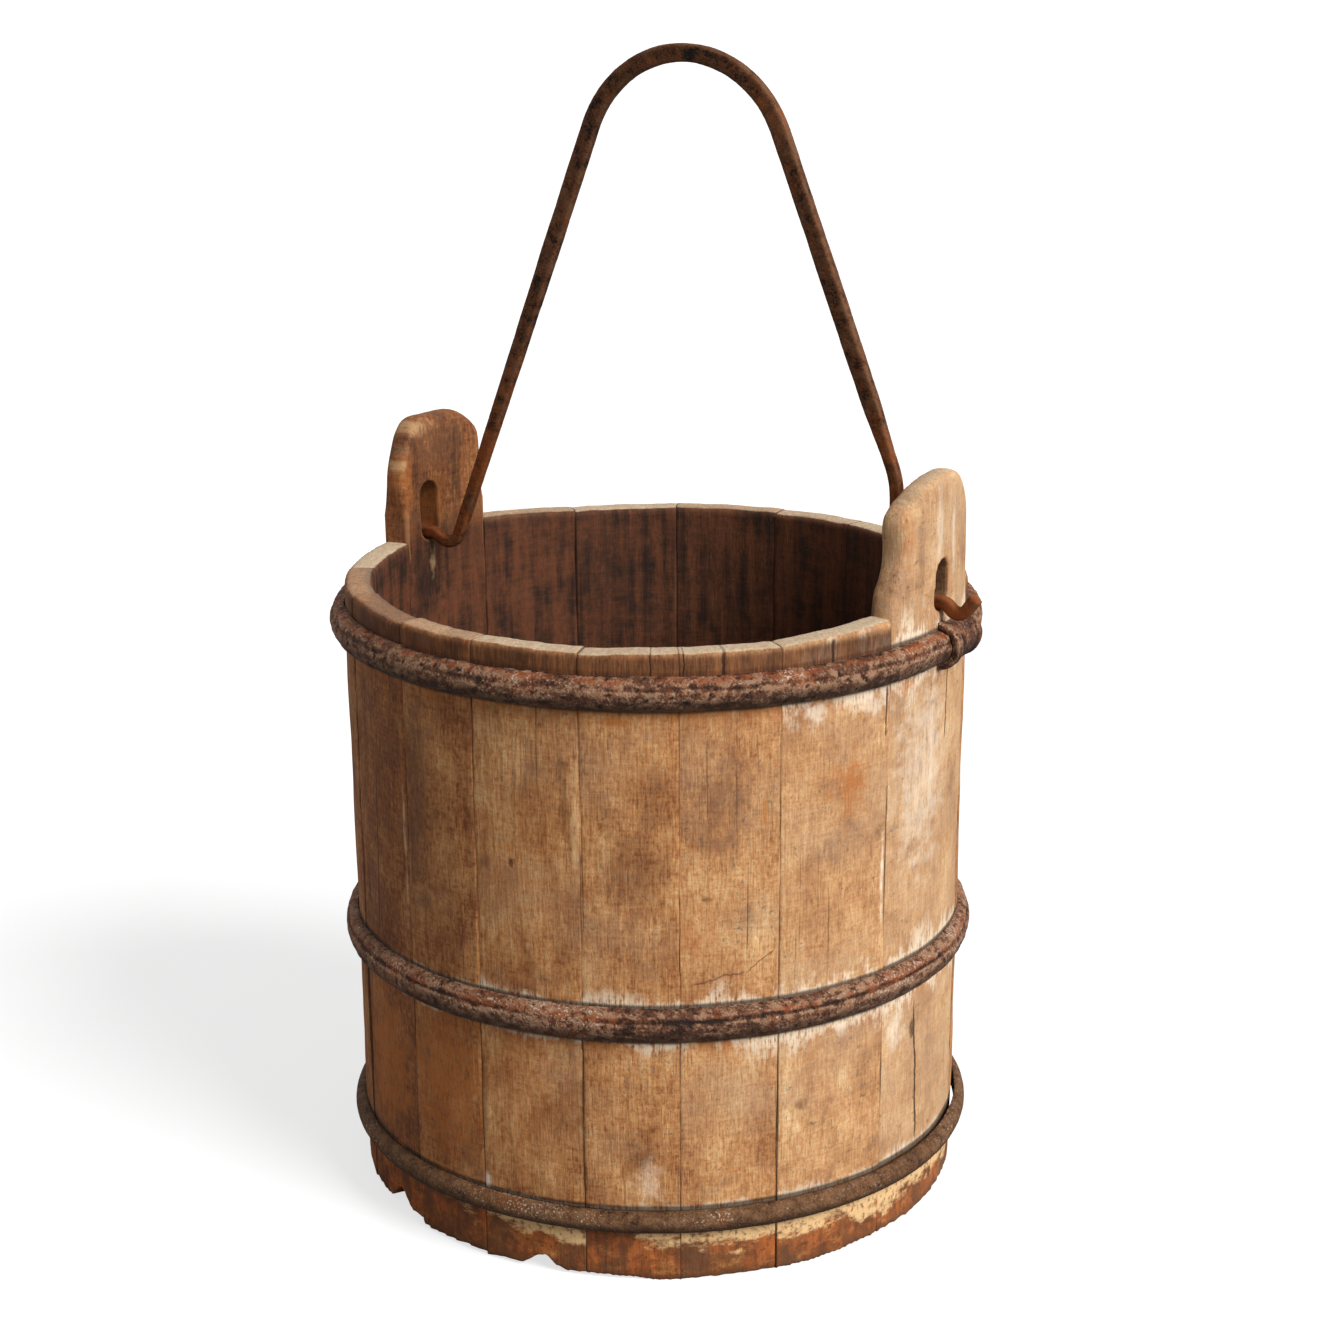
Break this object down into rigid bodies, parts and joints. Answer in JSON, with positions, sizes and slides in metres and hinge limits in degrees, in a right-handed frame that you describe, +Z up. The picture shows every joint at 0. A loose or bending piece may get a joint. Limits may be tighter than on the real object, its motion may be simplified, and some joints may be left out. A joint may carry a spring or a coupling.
{
  "type": "wooden pail",
  "caption": "Coopered wooden pail bound by iron hoops, with tall slotted ear staves that carry a swinging forged iron bail.",
  "frame": {"origin": "on the ground, at the middle of the foot", "axes": "+Z up; the ears and the bail's axis lie along X, with the hoop clip on the +X side"},
  "size_m": [0.3414, 0.3232, 0.5631],
  "materials": {
    "stave_wood": "weathered, matte",
    "bottom_wood": "dark, water stained",
    "peg_wood": "plain",
    "hoop_iron": "rusted, flaking",
    "bail_iron": "rusted, worn smooth"
  },
  "bodies": {
    "tub": {"back_stave_1": "stave_wood", "back_stave_2": "stave_wood", "back_stave_3": "stave_wood", "back_stave_4": "stave_wood", "back_stave_5": "stave_wood", "back_stave_6": "stave_wood", "back_stave_7": "stave_wood", "front_stave_1": "stave_wood", "front_stave_2": "stave_wood", "front_stave_3": "stave_wood", "front_stave_4": "stave_wood", "front_stave_5": "stave_wood", "front_stave_6": "stave_wood", "front_stave_7": "stave_wood", "front_stave_8": "stave_wood", "right_ear_stave": "stave_wood", "left_ear_stave": "stave_wood", "bottom_board_1": "bottom_wood", "bottom_board_2": "bottom_wood", "bottom_board_3": "bottom_wood", "bottom_board_4": "bottom_wood", "stave_pegs": "peg_wood", "bottom_pegs": "peg_wood", "top_hoop": "hoop_iron", "middle_hoop": "hoop_iron", "bottom_hoop": "hoop_iron", "hoop_clip": "hoop_iron"},
    "bail": {"bail": "bail_iron"}
  },
  "joints": [
    {"name": "bail_swing", "type": "hinge", "parent": "tub", "child": "bail", "pos_m": [0, 0.004, 0.31074], "axis": [1, 0, 0], "range_deg": [-86, 86]}
  ]
}
